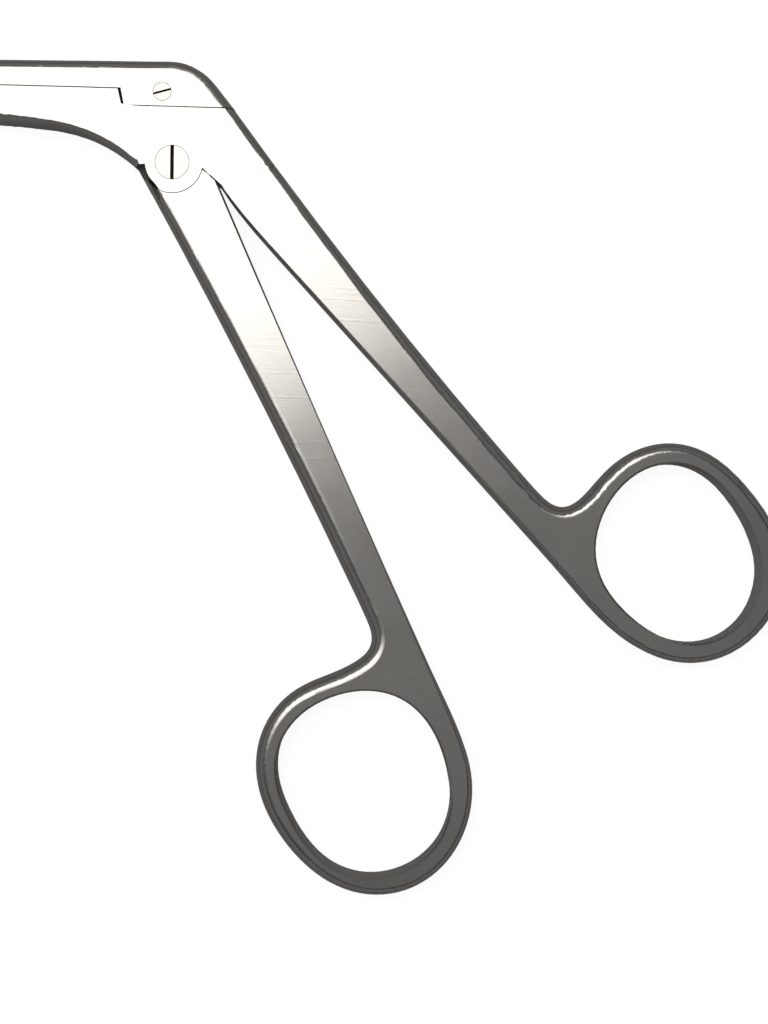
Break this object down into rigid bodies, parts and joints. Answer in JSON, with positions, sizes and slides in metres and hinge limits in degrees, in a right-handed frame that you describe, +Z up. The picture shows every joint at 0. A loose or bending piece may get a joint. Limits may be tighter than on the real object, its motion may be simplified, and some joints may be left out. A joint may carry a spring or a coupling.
{
  "type": "bone rongeur",
  "caption": "Ring-handled bone rongeur whose sliding upper shaft tips a hinged cup jaw against a fixed cup at the end of a long, slim shaft.",
  "frame": {"origin": "where the main pivot's axis meets the plane the closed instrument lies on", "axes": "+X from the jaws towards the handles along the shaft, +Y across the shaft away from the finger rings, +Z up through the instrument's thickness"},
  "size_m": [0.2285, 0.1114, 0.005],
  "materials": {
    "forged_steel": "satin",
    "screw_steel": "satin"
  },
  "bodies": {
    "body": {"rear_handle_and_shaft": "forged_steel", "pivot_screw": "screw_steel", "jaw_pivot_pin": "screw_steel"},
    "handle": {"front_handle": "forged_steel"},
    "slide": {"sliding_bar": "forged_steel", "slide_screw": "screw_steel", "jaw_link_pin": "screw_steel"},
    "jaw": {"upper_jaw": "forged_steel"}
  },
  "joints": [
    {"name": "handle_hinge", "type": "hinge", "parent": "body", "child": "handle", "pos_m": [0, 0, 0.0025], "axis": [0, 0, -1], "range_deg": [0, 19.3]},
    {"name": "bar_slide", "type": "slide", "parent": "body", "child": "slide", "axis": [1, 0, 0], "range_m": [0, 0.0032]},
    {"name": "jaw_hinge", "type": "hinge", "parent": "body", "child": "jaw", "pos_m": [-0.132, 0.00795, 0.0025], "axis": [0, 0, -1], "range_deg": [0, 57.8]}
  ],
  "couplings": [
    {"joint": "bar_slide", "follows": "handle_hinge", "m_per_rad": 0.009499},
    {"joint": "jaw_hinge", "follows": "handle_hinge", "ratio": 2.9948}
  ]
}
